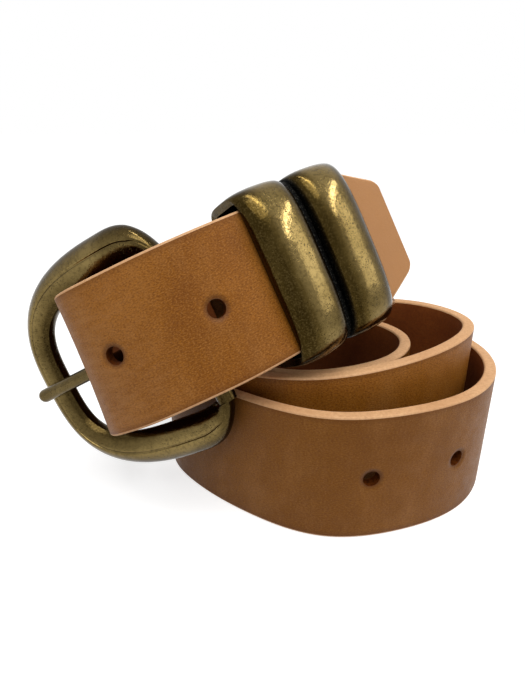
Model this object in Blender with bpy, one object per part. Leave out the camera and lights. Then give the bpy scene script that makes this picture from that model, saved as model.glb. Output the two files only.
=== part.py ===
"""A leather belt with a horseshoe buckle and a double-ribbed slide keeper.

The belt is fastened on itself and coiled into three turns that stand on their
edge. Lengths are in millimetres until they reach a mesh, which is in metres.
The origin is on the surface that the coil stands on, under its middle.
"""

import math

import bmesh
import bpy
import numpy as np
from mathutils import Matrix

MM = 0.001
GAP = 0.3  # clear space between pieces that touch
CUT_PAST = 2.0  # how far a cutter runs past the face that it opens

# Strap
STRAP_WIDTH = 38.0
STRAP_THICKNESS = 3.4
FOLD_THICKNESS = 2.8  # skived leather where the end folds round the heel bar
SKIVE_LENGTH = 12.0
EDGE_CHAMFER = 0.55
TIP_LENGTH = 12.5  # the clipped part of the tip
TIP_CLIP = 5.8  # taken off each side of the tip
TIP_CORNER = 2.6
HOLE_DIAMETER = 4.7
HOLE_PITCH = 27.5
HOLE_COUNT = 12
PRONG_HOLE = 2  # the prong's place in the row of holes, counted from 0 at the tip
HOLE_PULL = 1.4  # how far the strap has been drawn along its hole by the prong
LAYER_GAP = 0.4  # between the tip layer and the layer under it, in the keeper
FLAP_LENGTH = 16.5  # of the folded end, from the heel bar's axis
NECK_REACH = 7.6  # where the fold's two sides have met, from the same axis
NECK_DIP = (0.75, 0.9)  # how far its front and back have come in half way there

# Buckle frame, seen from its front with the heel bar on the right
HEEL_RADIUS = 2.7
HEEL_CLEARANCE = 0.3
TURN_PLAY = 0.75  # between the strap's turn and the window's far edge
WINDOW_PLAY = 2.7  # between the strap's edge and the window's, each side
WINDOW_SHOULDER = 16.8
ARCH_WIDTH = 7.6  # of the limb that the prong rests on
LIMB_WIDTH = 10.9  # of the two side limbs
FRAME_MIDDLE = 14.0  # where the frame is widest
FRAME_SHOULDER = 18.5
FRAME_POWER = 2.7  # how square the arch's outer edge is: 2 is an ellipse
WINDOW_POWER = 3.5
FRAME_FRONT = 3.3
FRAME_BACK = 3.0
FRAME_SLIP = 1.4  # how far the frame hangs down along its heel bar
FRAME_TILT = math.radians(24)  # how far the arch hangs back from the strap
LIMB_TURN = math.radians(112)  # where a limb leaves its oval for the heel corner
CORNER_TURN = math.radians(149)
CORNER_PLAY = 0.9  # between the strap's edge and the heel corner
CORNER_STEP = 0.1  # from a limb's last section to the bar's first
CORNER_ROUNDNESS = 0.75  # of that last section: 1 is the bar's circle

# Prong
PRONG_RADIUS = 1.95
PRONG_OVERHANG = -1.0  # past the arch's outer edge
PRONG_RISE = 2.2  # of its root over the heel bar's axis
PRONG_YAW = math.radians(2.5)  # its droop within the slot
PRONG_PLAY = 0.6
PRONG_WAY = (12.0, 48.0)  # the stretch of its line that is cut through the strap
PRONG_STRETCH = 1.3  # how far its hole is worn each way along the strap
EYE_WALL = 1.9
EYE_WIDTH = 5.0
SLOT_PLAY = 0.8
SLOT_REACH = 7.0

# Keeper, across the strap and out from its face
KEEPER_LENGTH = 33.5
KEEPER_SIDE_GAP = 1.5
KEEPER_FRONT_GAP = 0.8
KEEPER_BACK_GAP = 4.6
KEEPER_BACK_WALL = 2.4
KEEPER_SIDE_WALL = 1.9
KEEPER_GROOVE_WALL = 1.5
GROOVE_WIDTH = 2.4
KEEPER_RIB_HEIGHT = 4.8
KEEPER_RIB_SIDE = 1.0
KEEPER_LIP = 0.2  # how far the way through stops short of each end's rim
RIB_END_POWER = 2.0  # how full a rib is towards its end: 2 is an ellipse
RIB_GROOVE_POWER = 3.0  # and towards the groove
CREST_POWER = 3.0  # how square the keeper's front is across the strap
GROOVE_POWER = 3.6
BACK_POWER = 6.0
WAY_POWER = 11.0

# Screw posts that close the folded end
POST_REACH = 11.3
POST_SPREAD = 9.5
POST_RADIUS = 2.2
POST_BORE = 1.5
SHANK_RADIUS = 1.2
HEAD_RADIUS = 3.6
HEAD_HEIGHT = 1.1
HEAD_EDGE = 0.5
POST_END = 1.2  # of solid metal over the bore
SCREW_PLAY = 0.4  # from the screw's end to the bore's

# Centre of the belt's box, taken off every place below
BOX_MIDDLE = (-5.63, -0.29)

# The strap's grain face along its middle, from the tip to the turn in the
# window: x, y, its rise, and how far the strap leans with the buckle (0 is
# upright). A rise is counted from a strap that stands on the surface, or, for
# one that leans, from one that rests on the coil's upper edge.
FRONT_ROUTE = (
    (30.6, 1.3, 21.6, 1.0),
    (21.0, -6.2, 19.0, 1.0),
    (6.8, -16.9, 15.5, 1.0),
    (-5.3, -26.5, 12.2, 1.0),
    (-18.8, -34.6, 7.8, 1.0),
    (-31.1, -37.4, 2.7, 1.0),
    (-44.3, -37.0, -2.56, 0.97),
    (-50.5, -33.8, -0.18, 0.81),
    (-54.2, -26.5, 1.52, 0.66),
)
# From the turn round the coil, outer turn first, to the inside of the coil.
COIL_ROUTE = (
    (-55.8, -14.5, 1.68, 0.54),
    (-54.2, 1.8, 1.8, 0.4),
    (-48.6, 17.5, 2.5, 0.25),
    (-37.3, 30.7, 3.06, 0.13),
    (-17.5, 38.8, 4.0, 0.0),
    (6.0, 41.5, 1.5, 0.0),
    (31.0, 39.4, 0.0, 0.0),
    (52.8, 29.8, 0.0, 0.0),
    (63.6, 12.8, 0.0, 0.0),
    (63.0, -7.5, 0.0, 0.0),
    (51.5, -25.2, 0.0, 0.0),
    (31.0, -35.9, 0.0, 0.0),
    (8.3, -38.3, 0.0, 0.0),
    (-12.0, -28.8, 0.0, 0.0),
    (-29.8, -13.5, 0.0, 0.0),
    (-38.0, 1.0, 0.0, 0.0),
    (-34.5, 16.5, 1.0, 0.0),
    (-18.0, 28.0, 4.5, 0.0),
    (5.0, 31.8, 7.6, 0.0),
    (30.0, 30.0, 9.6, 0.0),
    (50.0, 20.5, 10.6, 0.0),
    (58.0, 3.0, 10.6, 0.0),
    (48.0, -13.8, 9.9, 0.0),
    (30.0, -24.4, 8.1, 0.0),
    (9.3, -28.2, 5.9, 0.0),
    (-12.5, -22.6, 4.5, 0.0),
    (-28.7, -8.4, 4.2, 0.0),
    (-30.5, 8.0, 4.2, 0.0),
    (-13.5, 21.6, 4.2, 0.0),
    (9.3, 26.0, 4.2, 0.0),
    (30.0, 22.6, 4.2, 0.0),
    (39.3, 8.0, 4.2, 0.0),
    (34.8, -8.0, 4.2, 0.0),
    (20.0, -19.2, 4.2, 0.0),
    (2.0, -22.6, 4.2, 0.0),
    (-14.0, -17.6, 3.7, 0.05),
    (-23.3, -5.0, 3.4, 0.2),
    (-20.0, 9.5, 3.4, 0.45),
    (-5.0, 18.0, 4.9, 0.7),
    (12.0, 17.6, 7.8, 0.9),
    (24.3, 10.5, 12.0, 1.0),
)
HEEL_MIDDLE = (-26.3, -24.0, 0.8, 1.0)
LEAN = (0.476, -0.262)  # sideways and back, per unit of drop
BODY_STEP = 3.6
FOLD_STEP = 1.5


# ---------------------------------------------------------------- geometry
def unit(vector):
    return np.asarray(vector, float) / np.linalg.norm(vector)


def smooth(points, step):
    """Points every step along a natural cubic through the ones given."""
    points = np.asarray(points, float)
    chords = np.linalg.norm(np.diff(points[:, :3], axis=0), axis=1)
    knots = np.concatenate([[0], np.cumsum(chords)])
    count = len(points)
    system = np.eye(count)
    right = np.zeros_like(points)
    for i in range(1, count - 1):
        before, after = chords[i - 1], chords[i]
        system[i, i - 1 : i + 2] = before, 2 * (before + after), after
        right[i] = 6 * (
            (points[i + 1] - points[i]) / after - (points[i] - points[i - 1]) / before
        )
    bends = np.linalg.solve(system, right)
    places = np.linspace(0, knots[-1], max(2, round(knots[-1] / step)) + 1)
    spans = np.clip(np.searchsorted(knots, places, "right") - 1, 0, count - 2)
    chord = chords[spans][:, None]
    left = (knots[spans + 1] - places)[:, None] / chord
    rest = 1 - left
    bend = (left**3 - left) * bends[spans] + (rest**3 - rest) * bends[spans + 1]
    return left * points[spans] + rest * points[spans + 1] + bend * chord**2 / 6


def down(lean):
    """Unit vector across the strap, from its upper to its lower edge."""
    return unit((LEAN[0] * lean, LEAN[1] * lean, -1.0))


def frames(route):
    """Along, across and outward unit vectors at each point of a route."""
    along = np.gradient(route[:, :3], axis=0)
    along /= np.linalg.norm(along, axis=1)[:, None]
    across = np.array([down(lean) for lean in route[:, 3]])
    across -= (across * along).sum(axis=1)[:, None] * along
    across /= np.linalg.norm(across, axis=1)[:, None]
    return along, across, np.cross(along, across)


def arc_lengths(points):
    steps = np.linalg.norm(np.diff(points[:, :3], axis=0), axis=1)
    return np.concatenate([[0], np.cumsum(steps)])


# ---------------------------------------------------------------- meshes
def new_object(name, mesh, material):
    obj = bpy.data.objects.new(name, mesh)
    bpy.context.scene.collection.objects.link(obj)
    if material:
        mesh.materials.append(material)
    return obj


def loft(name, rings, closed=False):
    """A mesh in metres over rings of equal point counts, capped unless closed."""
    rings = np.asarray(rings, float) * MM
    count = rings.shape[1]
    total = len(rings) * count
    faces = []
    for this in range(0, total if closed else total - count, count):
        after = (this + count) % total
        for j in range(count):
            k = (j + 1) % count
            faces.append((this + j, this + k, after + k, after + j))
    if not closed:
        faces.append(tuple(range(count)))
        faces.append(tuple(range(total - 1, total - count - 1, -1)))
    mesh = bpy.data.meshes.new(name)
    mesh.from_pydata(rings.reshape(-1, 3).tolist(), [], faces)
    shell = bmesh.new()
    shell.from_mesh(mesh)
    bmesh.ops.recalc_face_normals(shell, faces=shell.faces)
    shell.to_mesh(mesh)
    shell.free()
    mesh.shade_smooth()
    mesh.set_sharp_from_angle(angle=math.radians(35))
    return mesh


def turned(name, profile, sides=24):
    """A solid of revolution about Z from (radius, height) pairs, bottom up."""
    angles = 2 * math.pi * np.arange(sides) / sides
    rings = [
        np.stack([r * np.cos(angles), r * np.sin(angles), np.full(sides, z)], axis=1)
        for r, z in profile
    ]
    return loft(name, rings)


def box_mesh(name, low, high):
    """A block between two corners."""
    rings = [
        [(low[0], low[1], z), (high[0], low[1], z), (high[0], high[1], z), (low[0], high[1], z)]
        for z in (low[2], high[2])
    ]
    return loft(name, rings)


def place(obj, origin, x_axis, y_axis, z_axis):
    """Puts an object's own axes at a point in the belt's frame."""
    matrix = Matrix.Identity(4)
    for column, axis in enumerate((x_axis, y_axis, z_axis)):
        for row in range(3):
            matrix[row][column] = axis[row]
    for row in range(3):
        matrix[row][3] = origin[row] * MM
    obj.matrix_world = matrix
    return obj


def cutter(name, mesh):
    obj = new_object(name, mesh, None)
    obj.hide_render = True
    obj.display_type = "WIRE"
    return obj


def boolean(obj, other, operation="DIFFERENCE"):
    modifier = obj.modifiers.new(other.name, "BOOLEAN")
    modifier.operation = operation
    modifier.object = other
    modifier.solver = "EXACT"


def material(name, colour, roughness, metallic):
    found = bpy.data.materials.new(name)
    found.use_nodes = True
    shader = found.node_tree.nodes["Principled BSDF"]
    shader.inputs["Base Color"].default_value = (*colour, 1.0)
    shader.inputs["Roughness"].default_value = roughness
    shader.inputs["Metallic"].default_value = metallic
    return found


# ---------------------------------------------------------------- the route
def in_row(stations):
    """Stations in the belt's frame, with a rise turned into a height."""
    moved = np.atleast_2d(np.array(stations, float))
    moved[:, :2] -= BOX_MIDDLE
    moved[:, 2] += STRAP_WIDTH * (0.5 + moved[:, 3])
    return moved


front = in_row(FRONT_ROUTE)
coil = in_row(COIL_ROUTE)
heel = in_row(HEEL_MIDDLE)[0, :3]
front_fine = smooth(np.vstack([front, coil[:1]]), 1.0)
front_out = frames(front_fine)[2]


def under_layer(point):
    """The under layer's grain face below a point of the tip layer."""
    nearest = np.linalg.norm(front_fine[:, :3] - point[:3], axis=1).argmin()
    drop = STRAP_THICKNESS + LAYER_GAP
    return np.append(point[:3] - drop * front_out[nearest], 1.0), front_out[nearest]


under = np.array([under_layer(front[i])[0] for i in (1, 2, 3)])

# The heel bar's axes: u along the strap, v up the bar, n out to the front. The
# under layer's flesh face runs from its last station to the bar's axis.
flesh_end = under[-1, :3] - STRAP_THICKNESS * under_layer(front[3])[1]
heel_v = -down(1.0)
heel_u = unit((flesh_end - heel) - (flesh_end - heel).dot(heel_v) * heel_v)
heel_n = np.cross(heel_u, heel_v)

# The buckle's axes: x from the bar to the arch, z out of the frame's front
arch_x = -math.cos(FRAME_TILT) * heel_u - math.sin(FRAME_TILT) * heel_n
arch_z = np.cross(arch_x, -heel_v)
arch_y = np.cross(arch_z, arch_x)


def at_heel(along, outward):
    return heel + along * heel_u + outward * heel_n


def fold_route():
    """The grain face from the under layer round the heel bar and along the flap."""
    loop = HEEL_RADIUS + HEEL_CLEARANCE + FOLD_THICKNESS
    face, back = STRAP_THICKNESS + GAP / 2, FOLD_THICKNESS + GAP / 2
    points = [at_heel(FLAP_LENGTH, face), at_heel(POST_REACH, face), at_heel(NECK_REACH, face)]
    points.append(at_heel(NECK_REACH / 2, loop - NECK_DIP[0]))
    for degrees in range(100, 261, 20):
        angle = math.radians(degrees)
        points.append(at_heel(loop * math.cos(angle), loop * math.sin(angle)))
    points.append(at_heel(NECK_REACH / 2, NECK_DIP[1] - loop))
    points += [at_heel(reach, -back) for reach in (NECK_REACH, POST_REACH, FLAP_LENGTH)]
    return np.array([np.append(point, 1.0) for point in points])


def strap_route():
    """Tip layer, coil, under layer and fold as one route, and where the fold starts."""
    fold = fold_route()
    body = smooth(np.vstack([front, coil, under, fold[:1]]), BODY_STEP)
    body[:, 2] = np.maximum(body[:, 2], STRAP_WIDTH / 2)
    end = smooth(np.vstack([body[-2:-1], fold]), FOLD_STEP)
    return np.vstack([body[:-2], end]), len(body) - 2


route, fold_start = strap_route()
travel = arc_lengths(route)
route_axes = frames(route)


def along_strap(distances):
    """Grain-face points and their axes at distances from the tip."""
    columns = np.hstack([route[:, :3], route_axes[0], route_axes[1]])
    found = np.stack([np.interp(distances, travel, column) for column in columns.T], axis=1)
    along = found[:, 3:6] / np.linalg.norm(found[:, 3:6], axis=1)[:, None]
    across = found[:, 6:9] / np.linalg.norm(found[:, 6:9], axis=1)[:, None]
    return found[:, :3], along, across, np.cross(along, across)


# ---------------------------------------------------------------- the prong's line
def turn_reach():
    """How far from the heel bar a window must reach to hold the strap's turn."""
    half = STRAP_WIDTH / 2 + WINDOW_PLAY
    side = STRAP_WIDTH / 2 * route_axes[1]
    faces = np.vstack([route[:, :3] - side, route[:, :3], route[:, :3] + side])
    x, y, z = ((faces - heel + FRAME_SLIP * heel_v) @ np.array([arch_x, arch_y, arch_z]).T).T
    turn = (abs(z) < FRAME_BACK) & (x > FRAME_MIDDLE) & (abs(y) < half)
    squeeze = (1 - abs(y[turn] / half) ** WINDOW_POWER) ** (1 / WINDOW_POWER)
    return FRAME_MIDDLE + ((x[turn] - FRAME_MIDDLE) / squeeze).max()


window_reach = turn_reach() + TURN_PLAY
frame_reach = window_reach + ARCH_WIDTH
prong_start = np.array((HEEL_RADIUS + GAP, 0.0, PRONG_RISE))
prong_run = window_reach + ARCH_WIDTH / 2 - prong_start[0]
prong_line = unit((
    prong_run,
    math.tan(PRONG_YAW) * prong_run,
    FRAME_FRONT + GAP + PRONG_RADIUS - PRONG_RISE,
))
prong_length = (frame_reach + PRONG_OVERHANG - prong_start[0]) / prong_line[0]


def rod_mesh(name, radius, stops, sides, stretch=0.0):
    """A rod along the prong's line from (distance, share of radius) pairs."""
    across = unit(np.cross(prong_line, (0.0, 0.0, 1.0)))
    rise = np.cross(across, prong_line)
    angles = 2 * math.pi * (np.arange(sides) + 0.5) / sides
    rings = []
    for distance, share in stops:
        lift = radius * share * np.sin(angles) + np.copysign(stretch, np.sin(angles))
        side = radius * share * np.cos(angles)
        rings.append(
            prong_start + distance * prong_line + np.outer(side, across) + np.outer(lift, rise)
        )
    return loft(name, rings)


def prong_crossing():
    """How far from the tip the prong comes through the strap."""
    axes = np.array([arch_x, arch_y, arch_z])
    distances = np.arange(0.0, travel[-1], 0.1)
    offsets = along_strap(distances)[0] - heel - prong_start @ axes
    line = prong_line @ axes
    reach = offsets @ line
    apart = np.linalg.norm(offsets - np.outer(reach, line), axis=1)
    apart[reach < prong_length / 3] = np.inf
    return distances[apart.argmin()]


# ---------------------------------------------------------------- the strap
def half_widths(distances):
    """Half the strap's width at distances from the tip's end."""
    clipped = TIP_CLIP * np.clip(1 - distances / TIP_LENGTH, 0, 1)
    short = np.clip(1 - distances / TIP_CORNER, 0, 1)
    return STRAP_WIDTH / 2 - clipped - TIP_CORNER * (1 - np.sqrt(1 - short**2))


def thicknesses(distances):
    """Full thickness on the body, skived over the last stretch to the fold."""
    skived = np.clip((distances - travel[fold_start]) / SKIVE_LENGTH, 0, 1)
    return STRAP_THICKNESS + (FOLD_THICKNESS - STRAP_THICKNESS) * skived


def strap_rings():
    """Eight-sided sections along the route, closer in the tip's corners."""
    tip = TIP_CORNER * np.array((0.0, 0.13, 0.35, 0.65, 1.0))
    distances = np.concatenate([tip, travel[1:]])
    points, _, across, outward = along_strap(distances)
    sections = zip(points, across, outward, half_widths(distances), thicknesses(distances))
    cut = EDGE_CHAMFER
    rings = []
    for point, side, out, half, thick in sections:
        outline = (
            (cut - half, 0), (half - cut, 0), (half, cut), (half, thick - cut),
            (half - cut, thick), (cut - half, thick), (-half, thick - cut), (-half, cut),
        )
        rings.append([point + side * w - out * depth for w, depth in outline])
    return rings


def make_strap(leather):
    strap = new_object("strap", loft("strap", strap_rings()), leather)
    holes = prong_crossing() + HOLE_PULL + HOLE_PITCH * (np.arange(HOLE_COUNT) - PRONG_HOLE)
    for number, (point, s, w, n) in enumerate(zip(*along_strap(holes))):
        if number == PRONG_HOLE:
            continue
        name = f"hole_{number}"
        ends = (-CUT_PAST, STRAP_THICKNESS + LAYER_GAP / 2)
        punch = turned(name, [(HOLE_DIAMETER / 2, end) for end in ends], 16)
        boolean(strap, place(cutter(name, punch), point, s, w, -n))
    stops = [(distance, 1.0) for distance in PRONG_WAY]
    way = rod_mesh("prong_way", PRONG_RADIUS + PRONG_PLAY, stops, 16, PRONG_STRETCH)
    boolean(strap, place(cutter("prong_way", way), heel, arch_x, arch_y, arch_z))
    half = EYE_WIDTH / 2 + SLOT_PLAY
    loop = HEEL_RADIUS + HEEL_CLEARANCE + FOLD_THICKNESS + CUT_PAST
    slot = box_mesh("slot", (-loop, -half, -loop), (SLOT_REACH, half, loop))
    boolean(strap, place(cutter("slot", slot), heel, heel_u, heel_v, heel_n))
    for side, label in ((1, "upper"), (-1, "lower")):
        name = f"post_hole_{label}"
        ends = (-FOLD_THICKNESS - CUT_PAST, STRAP_THICKNESS + CUT_PAST)
        bore = turned(name, [(POST_RADIUS + GAP, end) for end in ends], 16)
        boolean(strap, place(cutter(name, bore), post_centre(side), heel_u, heel_v, heel_n))
    return strap


# ---------------------------------------------------------------- the buckle
def signed_power(value, power):
    return math.copysign(abs(value) ** power, value)


def oval_point(angle, reach, shoulder, half, power):
    """A point of a squared oval: the reach end is at angle 0."""
    c, s = math.cos(angle), math.sin(angle)
    span = reach - FRAME_MIDDLE if c > 0 else shoulder
    x = FRAME_MIDDLE + span * signed_power(c, 2 / power)
    return np.array((x, half * signed_power(s, 2 / power)))


def outer_edge(angle):
    half = STRAP_WIDTH / 2 + WINDOW_PLAY + LIMB_WIDTH
    return oval_point(angle, frame_reach, FRAME_SHOULDER, half, FRAME_POWER)


def window_edge(angle):
    half = STRAP_WIDTH / 2 + WINDOW_PLAY
    edge = oval_point(angle, window_reach, WINDOW_SHOULDER, half, WINDOW_POWER)
    return np.maximum(edge, (HEEL_RADIUS, 0))


def arch_stations():
    """(inner, outer, roundness) along one half, from the arch to the bar."""
    bar_end = STRAP_WIDTH / 2 + FRAME_SLIP + CORNER_PLAY
    turns = np.linspace(0, LIMB_TURN, 19)
    found = [(window_edge(angle), outer_edge(angle), 0.0) for angle in turns]
    limb_end = window_edge(LIMB_TURN)
    heel_corner = np.array((HEEL_RADIUS, bar_end))
    for share in np.linspace(0, 1, 6)[1:]:
        outer = outer_edge(LIMB_TURN + (CORNER_TURN - LIMB_TURN) * share)
        outer = np.maximum(outer, (-HEEL_RADIUS, bar_end + 2 * CORNER_STEP))
        inner = limb_end + (heel_corner + (0, CORNER_STEP) - limb_end) * share
        found.append((inner, outer, CORNER_ROUNDNESS * share))
    for height in bar_end * np.array((1.0, 0.57, 0.19)):
        found.append((np.array((HEEL_RADIUS, height)), np.array((-HEEL_RADIUS, height)), 1.0))
    return found


# A limb's section: how far from the window's edge to the outer one, and how
# much of the front (above 0) or back (below 0) height. The crease is the ridge
# with a small step beside it.
LIMB_SECTION = (
    (0.03, -0.55), (0.0, 0.12), (0.07, 0.38), (0.2, 0.66), (0.36, 0.86), (0.5, 0.97), (0.54, 0.9),
    (0.6, 1.0), (0.78, 0.8), (0.93, 0.42), (1.0, 0.0), (0.95, -0.45), (0.78, -0.88), (0.45, -1.0),
    (0.17, -0.9),
)


def frame_section(inner, outer, roundness):
    """A ring of points between the window's edge and the outer edge."""
    ring = []
    for j, (share, height) in enumerate(LIMB_SECTION):
        angle = 2 * math.pi * (j - 0.75) / len(LIMB_SECTION)
        tall = height * (FRAME_FRONT if height > 0 else FRAME_BACK)
        share += (0.5 - 0.5 * math.cos(angle) - share) * roundness
        tall += (HEEL_RADIUS * math.sin(angle) - tall) * roundness
        ring.append((*(inner + (outer - inner) * share), tall))
    return np.array(ring)


def make_frame(brass):
    half = [frame_section(*station) for station in arch_stations()]
    mirrored = [ring * (1, -1, 1) for ring in half[:0:-1]]
    mesh = loft("buckle_frame", half + mirrored, closed=True)
    origin = heel - FRAME_SLIP * heel_v
    return place(new_object("buckle_frame", mesh, brass), origin, arch_x, arch_y, arch_z)


def along_bar(name, radius, half_length, sides=28):
    """A cylinder on the heel bar's axis."""
    mesh = turned(name, [(radius, -half_length), (radius, half_length)], sides)
    mesh.transform(Matrix.Rotation(math.radians(90), 4, "X"))
    return mesh


def make_prong(brass):
    stops = [(prong_length * share, 1.0) for share in (0.0, 0.4, 0.8)]
    for angle in np.radians((0, 25, 45, 62, 76)):
        stops.append((prong_length - PRONG_RADIUS * (1 - math.sin(angle)), math.cos(angle)))
    prong = new_object("prong", rod_mesh("prong", PRONG_RADIUS, stops, 14), brass)
    place(prong, heel, arch_x, arch_y, arch_z)
    bore = HEEL_RADIUS + GAP
    eye = cutter("prong_eye", along_bar("prong_eye", bore + EYE_WALL, EYE_WIDTH / 2))
    boolean(prong, place(eye, heel, arch_x, arch_y, arch_z), "UNION")
    hole = cutter("prong_bore", along_bar("prong_bore", bore, EYE_WIDTH))
    boolean(prong, place(hole, heel, arch_x, arch_y, arch_z))
    return prong


# ---------------------------------------------------------------- the keeper
keeper_middle = front[2, :3]
keeper_x = unit(front[1, :3] - front[3, :3])
keeper_y = unit(-down(1.0) + down(1.0).dot(keeper_x) * keeper_x)
keeper_z = np.cross(keeper_x, keeper_y)


def rounded_box(angle, half_y, top, bottom, front_power, back_power):
    """A point of a rounded outline across the strap, at an angle from +Y."""
    c, s = math.cos(angle), math.sin(angle)
    power = 2 / (front_power if s > 0 else back_power)
    z = (top + bottom) / 2 + (top - bottom) / 2 * signed_power(s, power)
    return np.array((half_y * signed_power(c, power), z))


def rib_profile():
    """(place along the keeper, share of the rib's height) from end to end."""
    rib = (KEEPER_LENGTH - GROOVE_WIDTH) / 2
    profile = []
    for t in np.sin(np.linspace(-math.pi / 2, math.pi / 2, 11)):
        power = RIB_END_POWER if t < 0 else RIB_GROOVE_POWER
        profile.append(((t - 1) / 2 * rib - GROOVE_WIDTH / 2, (1 - abs(t) ** power) ** 0.5))
    return profile + [(-x, hump) for x, hump in profile[::-1]]


def make_keeper(brass):
    half = STRAP_WIDTH / 2 + KEEPER_SIDE_GAP
    top = KEEPER_FRONT_GAP
    bottom = -2 * STRAP_THICKNESS - LAYER_GAP - KEEPER_BACK_GAP
    wide = half + KEEPER_SIDE_WALL
    low, back = top + KEEPER_GROOVE_WALL, bottom - KEEPER_BACK_WALL
    end = KEEPER_LENGTH / 2 - KEEPER_LIP
    rings = []
    for angle in 2 * math.pi * (np.arange(44) + 0.5) / 44:
        way = rounded_box(angle, half, top, bottom, WAY_POWER, WAY_POWER)
        groove = rounded_box(angle, wide, low, back, GROOVE_POWER, BACK_POWER)
        crest = rounded_box(
            angle, wide + KEEPER_RIB_SIDE, low + KEEPER_RIB_HEIGHT, back, CREST_POWER, BACK_POWER
        )
        ring = [(x, *(groove + (crest - groove) * hump)) for x, hump in rib_profile()]
        rings.append(ring + [(x, *way) for x in (end, 0.0, -end)])
    mesh = loft("keeper", rings, closed=True)
    return place(new_object("keeper", mesh, brass), keeper_middle, keeper_x, keeper_y, keeper_z)


# ---------------------------------------------------------------- the screw posts
def post_centre(side):
    return at_heel(POST_REACH, 0) + side * POST_SPREAD * heel_v


def make_posts(brass):
    """Two posts with heads on the front and a screw in each from the back."""
    seat = STRAP_THICKNESS + GAP / 2 + GAP
    back = FOLD_THICKNESS + GAP / 2 + GAP
    rim = HEAD_RADIUS - HEAD_EDGE
    for side, label in ((1, "upper"), (-1, "lower")):
        axes = (post_centre(side), heel_u, heel_v, heel_n)
        post = turned(f"post_{label}", [
            (POST_RADIUS, GAP * 2 - back), (POST_RADIUS, seat), (HEAD_RADIUS, seat),
            (HEAD_RADIUS, seat + HEAD_EDGE), (rim, seat + HEAD_HEIGHT)])
        post = place(new_object(f"post_{label}", post, brass), *axes)
        ends = (-back - CUT_PAST, seat - POST_END)
        bore = turned(f"bore_{label}", [(POST_BORE, end) for end in ends], 16)
        boolean(post, place(cutter(f"bore_{label}", bore), *axes))
        screw = turned(f"screw_{label}", [
            (rim, -back - HEAD_HEIGHT), (HEAD_RADIUS, -back - HEAD_EDGE), (HEAD_RADIUS, -back),
            (SHANK_RADIUS, -back), (SHANK_RADIUS, seat - POST_END - SCREW_PLAY)])
        place(new_object(f"screw_{label}", screw, brass), *axes)


def build():
    for obj in list(bpy.data.objects):
        bpy.data.objects.remove(obj)
    leather = material("tan_leather", (0.42, 0.2, 0.075), 0.5, 0.0)
    brass = {
        name: material(f"{name}_brass", (0.36, 0.28, 0.13), 0.38, 1.0)
        for name in ("frame", "prong", "keeper", "post")
    }
    make_strap(leather)
    make_frame(brass["frame"])
    make_prong(brass["prong"])
    make_keeper(brass["keeper"])
    make_posts(brass["post"])


build()
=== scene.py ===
"""Looks of the coiled belt: tan leather, antiqued brass and a plain studio.

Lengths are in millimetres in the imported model's frame until they reach a mesh,
which is in metres. The strap's route and the metal's sizes are the ones that
the solid model is built from, and each piece is drawn finer over the same shape.
"""

import math

import bmesh
import bpy
import numpy as np
from mathutils import Matrix, Vector


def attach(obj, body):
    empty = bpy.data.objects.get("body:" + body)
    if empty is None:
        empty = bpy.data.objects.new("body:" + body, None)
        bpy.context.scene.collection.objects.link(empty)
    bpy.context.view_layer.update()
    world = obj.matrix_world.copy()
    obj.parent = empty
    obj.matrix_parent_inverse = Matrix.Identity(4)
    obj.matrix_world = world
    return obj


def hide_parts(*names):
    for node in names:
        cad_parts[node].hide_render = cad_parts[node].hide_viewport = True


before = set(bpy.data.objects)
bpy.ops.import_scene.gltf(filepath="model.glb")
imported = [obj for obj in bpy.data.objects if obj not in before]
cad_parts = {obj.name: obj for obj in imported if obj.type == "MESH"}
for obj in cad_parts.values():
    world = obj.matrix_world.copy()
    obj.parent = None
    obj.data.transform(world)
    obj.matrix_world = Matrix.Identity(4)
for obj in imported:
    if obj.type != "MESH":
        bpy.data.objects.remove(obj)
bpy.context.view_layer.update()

MM = 0.001  # metres
GAP = 0.3  # between pieces that run on or in each other
CUT_PAST = 2.0  # how far a cutter reaches past what it cuts

# Strap
STRAP_WIDTH = 38.0
STRAP_THICKNESS = 3.4
FOLD_THICKNESS = 2.8  # skived leather where the end folds round the heel bar
SKIVE_LENGTH = 12.0
TIP_LENGTH = 12.5  # the clipped part of the tip
TIP_CLIP = 5.8  # taken off each side of the tip
TIP_CORNER = 2.6
HOLE_DIAMETER = 4.7
HOLE_PITCH = 27.5
HOLE_COUNT = 12
PRONG_HOLE = 2  # the prong's place in the row of holes, counted from 0 at the tip
HOLE_PULL = 1.4  # how far the strap has been drawn along its hole by the prong
LAYER_GAP = 0.4  # between the tip layer and the layer under it, in the keeper
FLAP_LENGTH = 16.5  # of the folded end, from the heel bar's axis
NECK_REACH = 7.6  # where the fold's two sides have met, from the same axis
NECK_DIP = (0.75, 0.9)  # how far its front and back have come in half way there

# Buckle frame, seen from its front with the heel bar on the right
HEEL_RADIUS = 2.7
HEEL_CLEARANCE = 0.3
TURN_PLAY = 0.75  # between the strap's turn and the window's far edge
WINDOW_PLAY = 2.7  # between the strap's edge and the window's, each side
WINDOW_SHOULDER = 16.8
ARCH_WIDTH = 7.6  # of the limb that the prong rests on
LIMB_WIDTH = 10.9  # of the two side limbs
FRAME_MIDDLE = 14.0  # where the frame is widest
FRAME_SHOULDER = 18.5
FRAME_POWER = 2.7  # how square the arch's outer edge is: 2 is an ellipse
WINDOW_POWER = 3.5
FRAME_FRONT = 3.3
FRAME_BACK = 3.0
FRAME_SLIP = 1.4  # how far the frame hangs down along its heel bar
FRAME_TILT = math.radians(24)  # how far the arch hangs back from the strap
LIMB_TURN = math.radians(112)  # where a limb leaves its oval for the heel corner
CORNER_TURN = math.radians(149)
CORNER_PLAY = 0.9  # between the strap's edge and the heel corner
CORNER_STEP = 0.1  # from a limb's last section to the bar's first
CORNER_ROUNDNESS = 0.75  # of that last section: 1 is the bar's circle

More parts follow.
